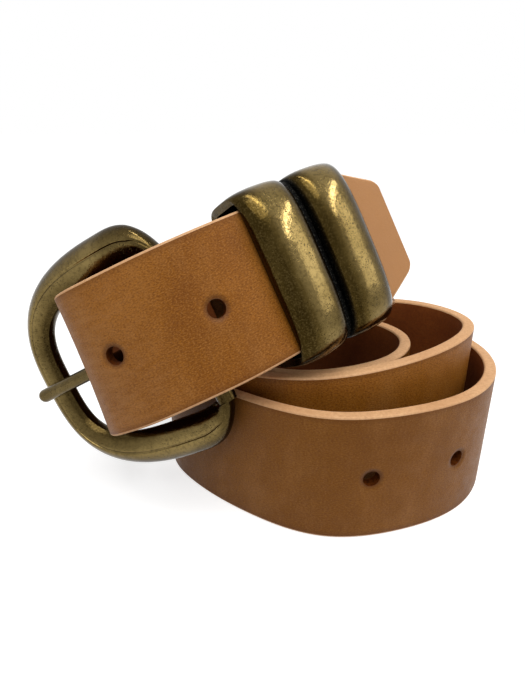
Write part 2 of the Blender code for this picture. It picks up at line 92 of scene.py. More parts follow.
# Prong
PRONG_RADIUS = 1.95
PRONG_OVERHANG = -1.0  # past the arch's outer edge
PRONG_RISE = 2.2  # of its root over the heel bar's axis
PRONG_YAW = math.radians(2.5)  # its droop within the slot
PRONG_PLAY = 0.6
PRONG_WAY = (12.0, 48.0)  # the stretch of its line that is cut through the strap
PRONG_STRETCH = 1.3  # how far its hole is worn each way along the strap
EYE_WALL = 1.9
EYE_WIDTH = 5.0
SLOT_PLAY = 0.8
SLOT_REACH = 7.0

# Keeper, across the strap and out from its face
KEEPER_LENGTH = 33.5
KEEPER_SIDE_GAP = 1.5
KEEPER_FRONT_GAP = 0.8
KEEPER_BACK_GAP = 4.6
KEEPER_BACK_WALL = 2.4
KEEPER_SIDE_WALL = 1.9
KEEPER_GROOVE_WALL = 1.5
GROOVE_WIDTH = 2.4
KEEPER_RIB_HEIGHT = 4.8
KEEPER_RIB_SIDE = 1.0
KEEPER_LIP = 0.2  # how far the way through stops short of each end's rim
RIB_END_POWER = 2.0  # how full a rib is towards its end: 2 is an ellipse
RIB_GROOVE_POWER = 3.0  # and towards the groove
CREST_POWER = 3.0  # how square the keeper's front is across the strap
GROOVE_POWER = 3.6
BACK_POWER = 6.0
WAY_POWER = 11.0

# Screw posts that close the folded end
POST_REACH = 11.3
POST_SPREAD = 9.5
POST_RADIUS = 2.2
POST_BORE = 1.5
SHANK_RADIUS = 1.2
HEAD_RADIUS = 3.6
HEAD_HEIGHT = 1.1
HEAD_EDGE = 0.5
POST_END = 1.2  # of solid metal over the bore
SCREW_PLAY = 0.4  # from the screw's end to the bore's

# Centre of the belt's box, taken off every place below
BOX_MIDDLE = (-5.63, -0.29)

# The strap's grain face along its middle, from the tip to the turn in the
# window: x, y, its rise, and how far the strap leans with the buckle (0 is
# upright). A rise is counted from a strap that stands on the surface, or, for
# one that leans, from one that rests on the coil's upper edge.
FRONT_ROUTE = (
    (30.6, 1.3, 21.6, 1.0),
    (21.0, -6.2, 19.0, 1.0),
    (6.8, -16.9, 15.5, 1.0),
    (-5.3, -26.5, 12.2, 1.0),
    (-18.8, -34.6, 7.8, 1.0),
    (-31.1, -37.4, 2.7, 1.0),
    (-44.3, -37.0, -2.56, 0.97),
    (-50.5, -33.8, -0.18, 0.81),
    (-54.2, -26.5, 1.52, 0.66),
)
# From the turn round the coil, outer turn first, to the inside of the coil.
COIL_ROUTE = (
    (-55.8, -14.5, 1.68, 0.54),
    (-54.2, 1.8, 1.8, 0.4),
    (-48.6, 17.5, 2.5, 0.25),
    (-37.3, 30.7, 3.06, 0.13),
    (-17.5, 38.8, 4.0, 0.0),
    (6.0, 41.5, 1.5, 0.0),
    (31.0, 39.4, 0.0, 0.0),
    (52.8, 29.8, 0.0, 0.0),
    (63.6, 12.8, 0.0, 0.0),
    (63.0, -7.5, 0.0, 0.0),
    (51.5, -25.2, 0.0, 0.0),
    (31.0, -35.9, 0.0, 0.0),
    (8.3, -38.3, 0.0, 0.0),
    (-12.0, -28.8, 0.0, 0.0),
    (-29.8, -13.5, 0.0, 0.0),
    (-38.0, 1.0, 0.0, 0.0),
    (-34.5, 16.5, 1.0, 0.0),
    (-18.0, 28.0, 4.5, 0.0),
    (5.0, 31.8, 7.6, 0.0),
    (30.0, 30.0, 9.6, 0.0),
    (50.0, 20.5, 10.6, 0.0),
    (58.0, 3.0, 10.6, 0.0),
    (48.0, -13.8, 9.9, 0.0),
    (30.0, -24.4, 8.1, 0.0),
    (9.3, -28.2, 5.9, 0.0),
    (-12.5, -22.6, 4.5, 0.0),
    (-28.7, -8.4, 4.2, 0.0),
    (-30.5, 8.0, 4.2, 0.0),
    (-13.5, 21.6, 4.2, 0.0),
    (9.3, 26.0, 4.2, 0.0),
    (30.0, 22.6, 4.2, 0.0),
    (39.3, 8.0, 4.2, 0.0),
    (34.8, -8.0, 4.2, 0.0),
    (20.0, -19.2, 4.2, 0.0),
    (2.0, -22.6, 4.2, 0.0),
    (-14.0, -17.6, 3.7, 0.05),
    (-23.3, -5.0, 3.4, 0.2),
    (-20.0, 9.5, 3.4, 0.45),
    (-5.0, 18.0, 4.9, 0.7),
    (12.0, 17.6, 7.8, 0.9),
    (24.3, 10.5, 12.0, 1.0),
)
HEEL_MIDDLE = (-26.3, -24.0, 0.8, 1.0)
LEAN = (0.476, -0.262)  # sideways and back, per unit of drop
BODY_STEP = 0.9  # between the points of the route, on the body and in the fold
FOLD_STEP = 0.5
FRONT_STEP = 1.0  # and of the tip layer, from which the under layer's place is taken
FOLD_TURNS = range(100, 261, 20)  # degrees round the heel bar, one route point at each
CROSSING_STEP = 0.1  # to which the place of the prong's hole is found

# Finer detail than the solid model's
EDGE_ROUND = 0.6  # radius of the strap's edges
EDGE_TURNS = (22.5, 45.0, 67.5, 90.0)  # degrees round that radius, one row at each
BODY_SECTIONS = 1.4  # between the strap's sections, and at its fold and its holes
FOLD_SECTIONS = 0.7
HOLE_SECTIONS = 0.34
LEAST_SECTION = 0.045  # closer sections are merged
TIP_SECTIONS = (0.0, 0.02, 0.08, 0.16, 0.26, 0.38, 0.52, 0.7, 0.9)  # shares of TIP_CORNER
SIDE_ROWS = 12  # from the rows at the holes to each edge
SIDE_START = 0.7  # from the last row at the holes to the first of these
HOLE_FIELD = 4.7  # how far round a hole the closer sections reach
RIM_DIP = 0.42  # how far a punched hole pulls its rim in
RIM_SPREAD = 0.75
EYE_SOFT = 0.5  # radius of the prong eye's rims
HEAD_DOME = 0.12  # of a post's or screw's head over its flat one in the solid model
DRIVER_WIDTH = 0.9  # of the slot in a screw's head
DRIVER_DEPTH = 0.55
SHARP_ANGLE = math.radians(42)  # between faces that are shaded as separate ones

# Sides of the round pieces, and steps along the metal
HOLE_SIDES = 36
WAY_SIDES = 24
PRONG_SIDES = 32
EYE_SIDES = 48
POST_SIDES = 64
KEEPER_SIDES = 240
RIB_STEPS = 37
ARCH_STEPS = 73
CORNER_STEPS = 17
BAR_STEPS = (1.0, 0.75, 0.5, 0.25, 0.08)  # shares of half the heel bar
LIMB_POINTS = 60

# The strap's looks, in the order of its materials
GRAIN, EDGE, BACK, PUNCHED = range(4)

# Where the looks change, in metres as the meshes are: along the strap from its
# tip, across it from its middle, and out from a hole's rim or the groove's middle
# Painted sheen on the tip and along the bend, and painted shade on the outer turn, placed along the
# strap
SHEEN_TIP = (0.018, 0.034)
SHEEN_BEND = ((0.072, 0.092), (0.1, 0.115))
SHADED_OUTER_TURN = ((0.19, 0.25), (0.50, 0.56))
DARK_BORDER = (0.0168, 0.0186)
DARK_RIM = (0.0, 0.0013)
BLACK_GROOVE = (0.0013, 0.0020)

WINDOW_SIDE = 0.1  # the share of a limb's width that counts as beside the window
WINDOW_SHADE = 0.6  # painted shade there: the window's inner wall is kept darker

# Camera, at the photograph's viewing angle
CAMERA_PLACE = (-7.6, -152.0, 104.3)
CAMERA_PITCH = math.radians(23.0)
CAMERA_LENS = 27.05
CAMERA_SENSOR = 36.0
CAMERA_NEAR = 0.005  # metres

# Studio
WORLD_LIGHT = 0.3  # of the world on what it lights; it looks white
FLOOR_REACH = 8.0  # metres
FLOOR_HEIGHT = -0.0002
FLOOR_COLOUR = (0.6, 0.6, 0.6)
FLOOR_GLOW = 0.66  # what the floor adds where it is seen, so that it reads white
LAMP_AIM = (0.0, 0.0, 60.0)
SKY_PLACE = (-60, -300, 600)
SKY_ENERGY = 1.42
SKY_ANGLE = math.radians(40)
# Panels: name, place, watts, width and height in metres, and the way the height runs
PANELS = (
    ("window", (370, -90, 230), 0.22, (0.18, 0.22), (0, 0, 1)),
    ("strip_above", (-30, -70, 470), 0.6, (0.03, 0.30), (0.6, -0.8, 0)),
    ("strip_right", (290, -80, 380), 0.45, (0.026, 0.32), (0, 1, 0.2)),
)


# ---------------- geometry
def unit(vector):
    """The vector at length 1."""
    return np.asarray(vector, float) / np.linalg.norm(vector)


def smooth(points, step):
    """Points every step along a natural cubic through the ones given."""
    points = np.asarray(points, float)
    chords = np.linalg.norm(np.diff(points[:, :3], axis=0), axis=1)
    knots = np.concatenate([[0], np.cumsum(chords)])
    count = len(points)
    system = np.eye(count)
    right = np.zeros_like(points)
    for i in range(1, count - 1):
        before, after = chords[i - 1], chords[i]
        system[i, i - 1 : i + 2] = before, 2 * (before + after), after
        right[i] = 6 * (
            (points[i + 1] - points[i]) / after - (points[i] - points[i - 1]) / before
        )
    bends = np.linalg.solve(system, right)
    places = np.linspace(0, knots[-1], max(2, round(knots[-1] / step)) + 1)
    spans = np.clip(np.searchsorted(knots, places, "right") - 1, 0, count - 2)
    chord = chords[spans][:, None]
    left = (knots[spans + 1] - places)[:, None] / chord
    rest = 1 - left
    bend = (left**3 - left) * bends[spans] + (rest**3 - rest) * bends[spans + 1]
    return left * points[spans] + rest * points[spans + 1] + bend * chord**2 / 6


def down(lean):
    """Unit vector across the strap, from its upper to its lower edge."""
    return unit((LEAN[0] * lean, LEAN[1] * lean, -1.0))


def frames(route):
    """Along, across and outward unit vectors at each point of a route."""
    along = np.gradient(route[:, :3], axis=0)
    along /= np.linalg.norm(along, axis=1)[:, None]
    across = np.array([down(lean) for lean in route[:, 3]])
    across -= (across * along).sum(axis=1)[:, None] * along
    across /= np.linalg.norm(across, axis=1)[:, None]
    return along, across, np.cross(along, across)


def arc_lengths(points):
    """How far along the line through the points each of them lies."""
    steps = np.linalg.norm(np.diff(points[:, :3], axis=0), axis=1)
    return np.concatenate([[0], np.cumsum(steps)])


# ---------------- meshes
def new_object(data):
    """An object in the scene, named as its data is."""
    obj = bpy.data.objects.new(data.name, data)
    bpy.context.scene.collection.objects.link(obj)
    return obj


def loft(name, rings, closed=False):
    """A mesh in metres over rings of equal point counts, capped unless closed."""
    rings = np.asarray(rings, float) * MM
    count = rings.shape[1]
    total = len(rings) * count
    faces = []
    for this in range(0, total if closed else total - count, count):
        after = (this + count) % total
        for j in range(count):
            k = (j + 1) % count
            faces.append((this + j, this + k, after + k, after + j))
    if not closed:
        faces.append(tuple(range(count)))
        faces.append(tuple(range(total - 1, total - count - 1, -1)))
    mesh = bpy.data.meshes.new(name)
    mesh.from_pydata(rings.reshape(-1, 3).tolist(), [], faces)
    shell = bmesh.new()
    shell.from_mesh(mesh)
    bmesh.ops.recalc_face_normals(shell, faces=shell.faces)
    shell.to_mesh(mesh)
    shell.free()
    return mesh


def turned(name, profile, sides):
    """A solid of revolution about Z from (radius, height) pairs, bottom up."""
    angles = 2 * math.pi * np.arange(sides) / sides
    rings = [
        np.stack([r * np.cos(angles), r * np.sin(angles), np.full(sides, z)], axis=1)
        for r, z in profile
    ]
    return loft(name, rings)


def box_mesh(name, low, high):
    """A block between two corners."""
    rings = [
        [(low[0], low[1], z), (high[0], low[1], z), (high[0], high[1], z), (low[0], high[1], z)]
        for z in (low[2], high[2])
    ]
    return loft(name, rings)


def place(obj, origin, x_axis, y_axis, z_axis):
    """Carries a mesh from its own axes to a point in the belt's frame."""
    matrix = Matrix.Identity(4)
    for column, axis in enumerate((x_axis, y_axis, z_axis)):
        for row in range(3):
            matrix[row][column] = axis[row]
    for row in range(3):
        matrix[row][3] = origin[row] * MM
    obj.data.transform(matrix)
    return obj


def apply_booleans(obj, steps):
    """Runs Booleans in turn and keeps the result as the object's own mesh."""
    for other, operation in steps:
        modifier = obj.modifiers.new(other.name, "BOOLEAN")
        modifier.operation = operation
        modifier.object = other
        modifier.solver = "EXACT"
    graph = bpy.context.evaluated_depsgraph_get()
    result = bpy.data.meshes.new_from_object(obj.evaluated_get(graph))
    obj.modifiers.clear()
    obj.data = result
    for other, _ in steps:
        bpy.data.objects.remove(other)


def give_values(mesh, name, values):
    """Keeps one number per point for a material to read."""
    attribute = mesh.attributes.new(name, "FLOAT", "POINT")
    attribute.data.foreach_set("value", np.asarray(values, np.float32).reshape(-1))


def stand_for(piece, node, body):
    """Makes a finished piece ride on its body in place of its solid."""
    piece.data.shade_smooth()
    piece.data.set_sharp_from_angle(angle=SHARP_ANGLE)
    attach(piece, body)
    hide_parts(node)


# ---------------- the route
def in_row(stations):
    """Stations in the belt's frame, with a rise turned into a height."""
    moved = np.atleast_2d(np.array(stations, float))
    moved[:, :2] -= BOX_MIDDLE
    moved[:, 2] += STRAP_WIDTH * (0.5 + moved[:, 3])
    return moved


front = in_row(FRONT_ROUTE)
coil = in_row(COIL_ROUTE)
heel = in_row(HEEL_MIDDLE)[0, :3]
front_fine = smooth(np.vstack([front, coil[:1]]), FRONT_STEP)
front_out = frames(front_fine)[2]


def under_layer(point):
    """The under layer's grain face below a point of the tip layer."""
    nearest = np.linalg.norm(front_fine[:, :3] - point[:3], axis=1).argmin()
    drop = STRAP_THICKNESS + LAYER_GAP
    return np.append(point[:3] - drop * front_out[nearest], 1.0), front_out[nearest]


# The under layer's stations lie behind these stations of the tip layer.
under = np.array([under_layer(front[i])[0] for i in (1, 2, 3)])

# The heel bar's axes: u along the strap, v up the bar, n out to the front. The
# under layer's flesh face runs from its last station to the bar's axis.
flesh_end = under[-1, :3] - STRAP_THICKNESS * under_layer(front[3])[1]
heel_v = -down(1.0)
heel_u = unit((flesh_end - heel) - (flesh_end - heel).dot(heel_v) * heel_v)
heel_n = np.cross(heel_u, heel_v)

# The buckle's axes: x from the bar to the arch, z out of the frame's front
arch_x = -math.cos(FRAME_TILT) * heel_u - math.sin(FRAME_TILT) * heel_n
arch_z = np.cross(arch_x, -heel_v)
arch_y = np.cross(arch_z, arch_x)


def at_heel(along, outward):
    """A point in the plane across the heel bar's middle."""
    return heel + along * heel_u + outward * heel_n


def fold_route():
    """The grain face from the under layer round the heel bar and along the flap."""
    loop = HEEL_RADIUS + HEEL_CLEARANCE + FOLD_THICKNESS
    face, back = STRAP_THICKNESS + GAP / 2, FOLD_THICKNESS + GAP / 2
    points = [at_heel(FLAP_LENGTH, face), at_heel(POST_REACH, face), at_heel(NECK_REACH, face)]
    points.append(at_heel(NECK_REACH / 2, loop - NECK_DIP[0]))
    for degrees in FOLD_TURNS:
        angle = math.radians(degrees)
        points.append(at_heel(loop * math.cos(angle), loop * math.sin(angle)))
    points.append(at_heel(NECK_REACH / 2, NECK_DIP[1] - loop))
    points += [at_heel(reach, -back) for reach in (NECK_REACH, POST_REACH, FLAP_LENGTH)]
    return np.array([np.append(point, 1.0) for point in points])


def strap_route():
    """Tip layer, coil, under layer and fold as one route, and where the fold starts."""
    fold = fold_route()
    body = smooth(np.vstack([front, coil, under, fold[:1]]), BODY_STEP)
    body[:, 2] = np.maximum(body[:, 2], STRAP_WIDTH / 2)
    end = smooth(np.vstack([body[-2:-1], fold]), FOLD_STEP)
    return np.vstack([body[:-2], end]), len(body) - 2


route, fold_start = strap_route()
travel = arc_lengths(route)
route_axes = frames(route)


def along_strap(distances):
    """Grain-face points and their axes at distances from the tip."""
    columns = np.hstack([route[:, :3], route_axes[0], route_axes[1]])
    found = np.stack([np.interp(distances, travel, column) for column in columns.T], axis=1)
    along = found[:, 3:6] / np.linalg.norm(found[:, 3:6], axis=1)[:, None]
    across = found[:, 6:9] / np.linalg.norm(found[:, 6:9], axis=1)[:, None]
    return found[:, :3], along, across, np.cross(along, across)


# ---------------- the prong's line
def turn_reach():
    """How far from the heel bar a window must reach to hold the strap's turn."""
    half = STRAP_WIDTH / 2 + WINDOW_PLAY
    side = STRAP_WIDTH / 2 * route_axes[1]
    faces = np.vstack([route[:, :3] - side, route[:, :3], route[:, :3] + side])
    x, y, z = ((faces - heel + FRAME_SLIP * heel_v) @ np.array([arch_x, arch_y, arch_z]).T).T
    turn = (abs(z) < FRAME_BACK) & (x > FRAME_MIDDLE) & (abs(y) < half)
    squeeze = (1 - abs(y[turn] / half) ** WINDOW_POWER) ** (1 / WINDOW_POWER)
    return FRAME_MIDDLE + ((x[turn] - FRAME_MIDDLE) / squeeze).max()


window_reach = turn_reach() + TURN_PLAY
frame_reach = window_reach + ARCH_WIDTH
prong_start = np.array((HEEL_RADIUS + GAP, 0.0, PRONG_RISE))
prong_run = window_reach + ARCH_WIDTH / 2 - prong_start[0]
prong_line = unit((
    prong_run,
    math.tan(PRONG_YAW) * prong_run,
    FRAME_FRONT + GAP + PRONG_RADIUS - PRONG_RISE,
))
prong_length = (frame_reach + PRONG_OVERHANG - prong_start[0]) / prong_line[0]


def rod_mesh(name, radius, stops, sides, stretch=0.0):
    """A rod along the prong's line from (distance, share of radius) pairs."""
    across = unit(np.cross(prong_line, (0.0, 0.0, 1.0)))
    rise = np.cross(across, prong_line)
    angles = 2 * math.pi * (np.arange(sides) + 0.5) / sides
    rings = []
    for distance, share in stops:
        lift = radius * share * np.sin(angles) + np.copysign(stretch, np.sin(angles))
        side = radius * share * np.cos(angles)
        rings.append(
            prong_start + distance * prong_line + np.outer(side, across) + np.outer(lift, rise)
        )
    return loft(name, rings)


def prong_crossing():
    """How far from the tip the prong comes through the strap."""
    axes = np.array([arch_x, arch_y, arch_z])
    distances = np.arange(0.0, travel[-1], CROSSING_STEP)
    offsets = along_strap(distances)[0] - heel - prong_start @ axes
    line = prong_line @ axes
    reach = offsets @ line
    apart = np.linalg.norm(offsets - np.outer(reach, line), axis=1)
    apart[reach < prong_length / 3] = np.inf  # the slot in the fold, near the bar
    return distances[apart.argmin()]


# ---------------- the strap
hole_places = prong_crossing() + HOLE_PULL + HOLE_PITCH * (np.arange(HOLE_COUNT) - PRONG_HOLE)
plain_holes = np.delete(hole_places, PRONG_HOLE)


def half_widths(distances):
    """Half the strap's width at distances from the tip's end."""
    clipped = TIP_CLIP * np.clip(1 - distances / TIP_LENGTH, 0, 1)
    short = np.clip(1 - distances / TIP_CORNER, 0, 1)
    return STRAP_WIDTH / 2 - clipped - TIP_CORNER * (1 - np.sqrt(1 - short**2))


def thicknesses(distances):
    """Full thickness on the body, skived over the last stretch to the fold."""
    skived = np.clip((distances - travel[fold_start]) / SKIVE_LENGTH, 0, 1)
    return STRAP_THICKNESS + (FOLD_THICKNESS - STRAP_THICKNESS) * skived


def strap_stations():
    """Distances of the sections: closer at the tip, the holes and the fold."""
    body = np.arange(TIP_CORNER, travel[fold_start], BODY_SECTIONS)
    places = [TIP_CORNER * np.array(TIP_SECTIONS), body]
    places.append(np.arange(travel[fold_start], travel[-1], FOLD_SECTIONS))
    for hole in plain_holes:
        places.append(np.arange(hole - HOLE_FIELD, hole + HOLE_FIELD, HOLE_SECTIONS))
    places.append([travel[-1]])
    merged = np.unique(np.round(np.concatenate(places), 3))
    return merged[np.append(np.diff(merged) > LEAST_SECTION, True)]


def strap_outline():
    """Rows round the strap's section, from the grain face over one edge to the back.

    A row is a share of the flat width, shares of the rounding out and in, a share
    of the thickness, and the look.
    """
    middle = np.arange(-HOLE_FIELD, HOLE_FIELD, HOLE_SECTIONS) / (STRAP_WIDTH / 2)
    start = HOLE_FIELD + SIDE_START
    side = np.linspace(start, STRAP_WIDTH / 2, SIDE_ROWS) / (STRAP_WIDTH / 2)
    face = np.concatenate([-side[::-1], middle, side])
    turns = np.radians(EDGE_TURNS)
    edge = [(1.0, math.sin(a), 1 - math.cos(a), 0.0, EDGE) for a in turns]
    edge += [(1.0, 1.0, 1.0, share, EDGE) for share in (0.33, 0.67)]
    edge += [(1.0, math.sin(a), 1 - math.cos(a), 1.0, EDGE) for a in turns[::-1]]
    rows = [(w, 0.0, 0.0, 0.0, GRAIN) for w in face] + edge
    rows += [(w, 0.0, 0.0, 1.0, BACK) for w in face[::-3]]
    rows += [(-w, -out, turn, deep, look) for w, out, turn, deep, look in edge[::-1]]
    return np.array(rows)


def from_holes(distances, sides):
    """How far each point is from the nearest hole's rim, below 0 inside one."""
    apart = np.hypot(distances[..., None] - plain_holes, sides[..., None])
    return apart.min(axis=-1) - HOLE_DIAMETER / 2


def strap_skin(distances):
    """Rings of points with each point's place across the strap."""
    points, _, across, outward = along_strap(distances)
    flat, out, turn, deep, look = strap_outline().T
    to_end = np.minimum(distances, travel[-1] - distances)[:, None]
    end_round = EDGE_ROUND * (1 - np.sqrt(1 - np.clip(1 - to_end / EDGE_ROUND, 0, 1) ** 2))
    sides = flat * (half_widths(distances)[:, None] - EDGE_ROUND) + EDGE_ROUND * out
    inset = end_round + EDGE_ROUND * turn
    depths = deep * thicknesses(distances)[:, None] + (1 - 2 * deep) * inset
    far = np.maximum(from_holes(np.broadcast_to(distances[:, None], sides.shape), sides), 0)
    depths += np.where(look == GRAIN, RIM_DIP * np.exp(-((far / RIM_SPREAD) ** 2)), 0.0)
    rings = points[:, None] + across[:, None] * sides[..., None]
    return rings - outward[:, None] * depths[..., None], sides, look


def strap_cutters():
    """Everything that is punched or cut through the strap."""
    found = []
    ends = (-CUT_PAST, STRAP_THICKNESS + LAYER_GAP / 2)
    for number, (point, along, across, outward) in enumerate(zip(*along_strap(plain_holes))):
        punch = turned(f"hole_{number}", [(HOLE_DIAMETER / 2, end) for end in ends], HOLE_SIDES)
        found.append(place(new_object(punch), point, across, along, -outward))
    stops = [(distance, 1.0) for distance in PRONG_WAY]
    way = rod_mesh("prong_way", PRONG_RADIUS + PRONG_PLAY, stops, WAY_SIDES, PRONG_STRETCH)
    found.append(place(new_object(way), heel, arch_x, arch_y, arch_z))
    half = EYE_WIDTH / 2 + SLOT_PLAY
    loop = HEEL_RADIUS + HEEL_CLEARANCE + FOLD_THICKNESS + CUT_PAST
    slot = box_mesh("slot", (-loop, -half, -loop), (SLOT_REACH, half, loop))
    found.append(place(new_object(slot), heel, heel_u, heel_v, heel_n))
    ends = (-FOLD_THICKNESS - CUT_PAST, STRAP_THICKNESS + CUT_PAST)
    for side, label in ((1, "upper"), (-1, "lower")):
        bore = [(POST_RADIUS + GAP, end) for end in ends]
        centre = at_heel(POST_REACH, 0) + side * POST_SPREAD * heel_v
        piece = new_object(turned(f"post_hole_{label}", bore, HOLE_SIDES))
        found.append(place(piece, centre, heel_u, heel_v, heel_n))
    return found


def make_strap(looks):
    """The strap, with looks for its grain, its cut edges, its back and its punched walls."""
    distances = strap_stations()
    rings, sides, look = strap_skin(distances)
    mesh = loft("strap_leather", rings)
    places = np.broadcast_to(distances[:, None], sides.shape)
    give_values(mesh, "distance", places * MM)
    give_values(mesh, "across", sides * MM)
    give_values(mesh, "from_hole", from_holes(places, sides) * MM)
    for material in looks:
        mesh.materials.append(material)
    corners = look[np.array([p.vertices[:4] for p in mesh.polygons]) % len(look)]
    index = np.where((corners == EDGE).any(axis=1), EDGE, corners.max(axis=1).astype(int))
    index[[len(p.vertices) > 4 for p in mesh.polygons]] = EDGE
    mesh.polygons.foreach_set("material_index", index)
    strap = new_object(mesh)
    tools = strap_cutters()
    for tool in tools:
        for material in looks:
            tool.data.materials.append(material)
        tool.data.polygons.foreach_set("material_index", [PUNCHED] * len(tool.data.polygons))
    apply_booleans(strap, [(tool, "DIFFERENCE") for tool in tools])
    stand_for(strap, "strap", "strap")


# ---------------- the buckle
def signed_power(value, power):
    """A power of the value's size, with the value's sign."""
    return math.copysign(abs(value) ** power, value)


def oval_point(angle, reach, shoulder, half, power):
    """A point of a squared oval: the reach end is at angle 0."""
    c, s = math.cos(angle), math.sin(angle)
    span = reach - FRAME_MIDDLE if c > 0 else shoulder
    x = FRAME_MIDDLE + span * signed_power(c, 2 / power)
    return np.array((x, half * signed_power(s, 2 / power)))


def outer_edge(angle):
    """A point of the frame's outline."""
    half = STRAP_WIDTH / 2 + WINDOW_PLAY + LIMB_WIDTH
    return oval_point(angle, frame_reach, FRAME_SHOULDER, half, FRAME_POWER)


def window_edge(angle):
    """A point of the window's outline, which stops at the heel bar."""
    half = STRAP_WIDTH / 2 + WINDOW_PLAY
    edge = oval_point(angle, window_reach, WINDOW_SHOULDER, half, WINDOW_POWER)
    return np.maximum(edge, (HEEL_RADIUS, 0))


def arch_stations():
    """(inner, outer, roundness) along one half, from the arch to the bar."""
    bar_end = STRAP_WIDTH / 2 + FRAME_SLIP + CORNER_PLAY
    turns = np.linspace(0, LIMB_TURN, ARCH_STEPS)
    found = [(window_edge(angle), outer_edge(angle), 0.0) for angle in turns]
    limb_end = window_edge(LIMB_TURN)
    heel_corner = np.array((HEEL_RADIUS, bar_end))
    for share in np.linspace(0, 1, CORNER_STEPS)[1:]:
        outer = outer_edge(LIMB_TURN + (CORNER_TURN - LIMB_TURN) * share)
        outer = np.maximum(outer, (-HEEL_RADIUS, bar_end + 2 * CORNER_STEP))
        inner = limb_end + (heel_corner + (0, CORNER_STEP) - limb_end) * share
        found.append((inner, outer, CORNER_ROUNDNESS * share))
    for height in bar_end * np.array(BAR_STEPS):
        found.append((np.array((HEEL_RADIUS, height)), np.array((-HEEL_RADIUS, height)), 1.0))
    return found


# A limb's section: how far from the window's edge to the outer one, and how
# much of the front (above 0) or back (below 0) height. The crease is the ridge
# with a small step beside it.
LIMB_SECTION = (
    (0.03, -0.55), (0.0, 0.12), (0.07, 0.38), (0.2, 0.66), (0.36, 0.86), (0.5, 0.97), (0.55, 0.91),
    (0.61, 1.0), (0.78, 0.8), (0.93, 0.42), (1.0, 0.0), (0.95, -0.45), (0.78, -0.88), (0.45, -1.0),
    (0.17, -0.9),
)


def round_curve(points, count):
    """A closed curve through points, as count points."""
    points = np.asarray(points, float)
    places = np.arange(count) * len(points) / count
    start = places.astype(int)
    t = (places - start)[:, None]
    before, here, after, beyond = (points[(start + k) % len(points)] for k in (-1, 0, 1, 2))
    bend = 2 * before - 5 * here + 4 * after - beyond
    twist = 3 * here - before - 3 * after + beyond
    return here + 0.5 * ((after - before) * t + bend * t**2 + twist * t**3)


def frame_section(inner, outer, roundness):
    """A ring of points between the window's edge and the outer edge, each with its wear and painted
    shade.
    """
    ring = []
    for j, (share, height) in enumerate(LIMB_SECTION):
        # On the bar's circle, which starts at the window between the first two points
        angle = 2 * math.pi * (j - 0.75) / len(LIMB_SECTION)
        tall = height * (FRAME_FRONT if height > 0 else FRAME_BACK)
        # Wear and painted shade: high on the front towards its ridge, low on the back, which is
        # kept darker as painted shade
        wear_and_shade = height * (1 - roundness)
        # Painted shade: darker beside the window, on the limb's inner wall
        if share < WINDOW_SIDE:
            wear_and_shade -= WINDOW_SHADE
        share += (0.5 - 0.5 * math.cos(angle) - share) * roundness
        tall += (HEEL_RADIUS * math.sin(angle) - tall) * roundness
        ring.append((*(inner + (outer - inner) * share), tall, wear_and_shade))
    return round_curve(ring, LIMB_POINTS)


def make_frame(brass):
    """The buckle frame as one closed ring of sections, mirrored over its middle."""
    half = [frame_section(*station) for station in arch_stations()]
    mirrored = [ring * (1, -1, 1, 1) for ring in half[:0:-1]]
    rings = np.array(half + mirrored)
    mesh = loft("buckle_frame_brass", rings[..., :3], closed=True)
    give_values(mesh, "wear_and_shade", rings[..., 3])
    mesh.materials.append(brass)
    origin = heel - FRAME_SLIP * heel_v
    piece = place(new_object(mesh), origin, arch_x, arch_y, arch_z)
    stand_for(piece, "buckle_frame", "frame")


def along_bar(name, profile):
    """A solid of revolution about the heel bar's axis."""
    mesh = turned(name, profile, EYE_SIDES)
    mesh.transform(Matrix.Rotation(math.radians(90), 4, "X"))
    return mesh


def make_prong(brass):
    """The prong's rod with its round end, joined to the eye round the heel bar."""
    stops = [(prong_length * share, 1.0) for share in np.linspace(0, 0.92, 13)]
    for angle in np.radians(np.arange(0, 85, 7)):
        stops.append((prong_length - PRONG_RADIUS * (1 - math.sin(angle)), math.cos(angle)))
    piece = new_object(rod_mesh("prong_brass", PRONG_RADIUS, stops, PRONG_SIDES))
    place(piece, heel, arch_x, arch_y, arch_z)
    bore, side = HEEL_RADIUS + GAP, EYE_WIDTH / 2
    rim = [
        (bore + EYE_WALL - EYE_SOFT * (1 - math.sin(a)), side - EYE_SOFT * (1 - math.cos(a)))
        for a in np.radians((0, 30, 60, 90))
    ]
    profile = [(r, -z) for r, z in rim] + rim[::-1]
    eye = new_object(along_bar("eye", profile))
    hole = new_object(along_bar("eye_bore", [(bore, -EYE_WIDTH), (bore, EYE_WIDTH)]))
    for tool in (eye, hole):
        place(tool, heel, arch_x, arch_y, arch_z)
    apply_booleans(piece, [(eye, "UNION"), (hole, "DIFFERENCE")])
    piece.data.materials.append(brass)
    stand_for(piece, "prong", "prong")


# ---------------- the keeper
keeper_middle = front[2, :3]
keeper_x = unit(front[1, :3] - front[3, :3])
keeper_y = unit(-down(1.0) + down(1.0).dot(keeper_x) * keeper_x)
keeper_z = np.cross(keeper_x, keeper_y)


def rounded_box(angle, half_y, top, bottom, front_power, back_power):
    """A point of a rounded outline across the strap, at an angle from +Y."""
    c, s = math.cos(angle), math.sin(angle)
    power = 2 / (front_power if s > 0 else back_power)
    z = (top + bottom) / 2 + (top - bottom) / 2 * signed_power(s, power)
    return np.array((half_y * signed_power(c, power), z))


def rib_profile():
    """(place along the keeper, share of the rib's height) from end to end."""
    rib = (KEEPER_LENGTH - GROOVE_WIDTH) / 2
    profile = []
    for t in np.sin(np.linspace(-math.pi / 2, math.pi / 2, RIB_STEPS)):
        power = RIB_END_POWER if t < 0 else RIB_GROOVE_POWER
        profile.append(((t - 1) / 2 * rib - GROOVE_WIDTH / 2, (1 - abs(t) ** power) ** 0.5))
    return profile + [(-x, hump) for x, hump in profile[::-1]]


